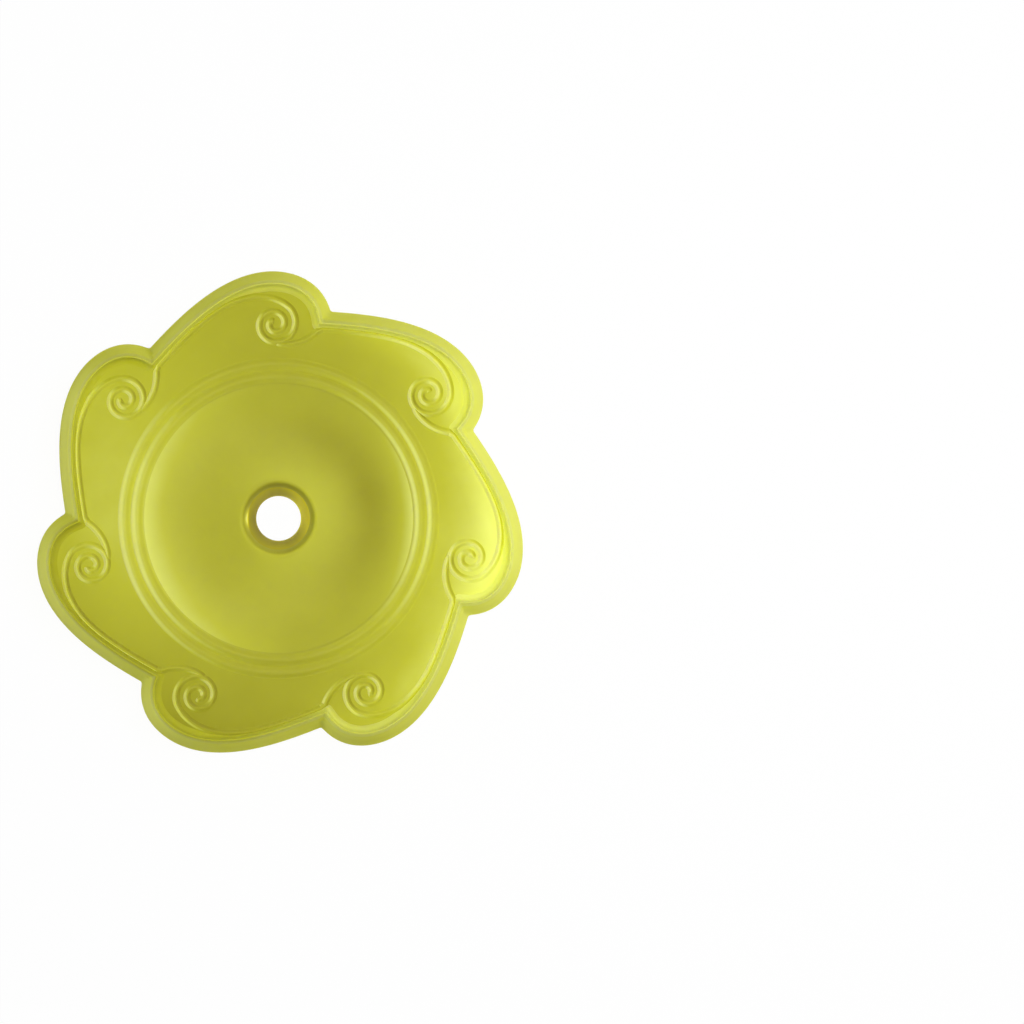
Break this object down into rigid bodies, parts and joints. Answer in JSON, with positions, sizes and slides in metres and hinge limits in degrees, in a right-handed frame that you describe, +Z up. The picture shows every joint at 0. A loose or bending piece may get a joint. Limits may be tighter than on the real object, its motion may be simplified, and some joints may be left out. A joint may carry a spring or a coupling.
{
  "type": "fondant plaque cutter",
  "caption": "Translucent lime plastic cutter for sugar paste: petal outline with a cutting edge, scroll and ring ridges that emboss the face, shallow dish and a push-out hole.",
  "frame": {"origin": "middle of the box round the flange's outline, on the flat face that the cutter lies on", "axes": "+Z up through the working face, parallel to the funnel hole's axis; +X and +Y along the sides of the box round the outline"},
  "size_m": [0.1032, 0.1022, 0.013],
  "materials": {
    "frosted_lime": "satin",
    "polished_lime": "gloss"
  },
  "bodies": {
    "root": {"back_flange": "frosted_lime", "outer_skirt": "frosted_lime", "petal_plate": "frosted_lime", "centre_dish": "frosted_lime", "cutting_blade": "frosted_lime", "inner_ring_ridge": "frosted_lime", "outer_ring_ridge": "frosted_lime", "scroll_ridge_1": "frosted_lime", "scroll_ridge_2": "frosted_lime", "scroll_ridge_3": "frosted_lime", "scroll_ridge_4": "frosted_lime", "scroll_ridge_5": "frosted_lime", "scroll_ridge_6": "frosted_lime", "scroll_ridge_7": "frosted_lime", "tongue_ridge_1": "frosted_lime", "tongue_ridge_2": "frosted_lime", "tongue_ridge_3": "frosted_lime", "tongue_ridge_4": "frosted_lime", "tongue_ridge_5": "frosted_lime", "tongue_ridge_6": "frosted_lime", "tongue_ridge_7": "frosted_lime", "hub_collar": "polished_lime"}
  },
  "joints": []
}
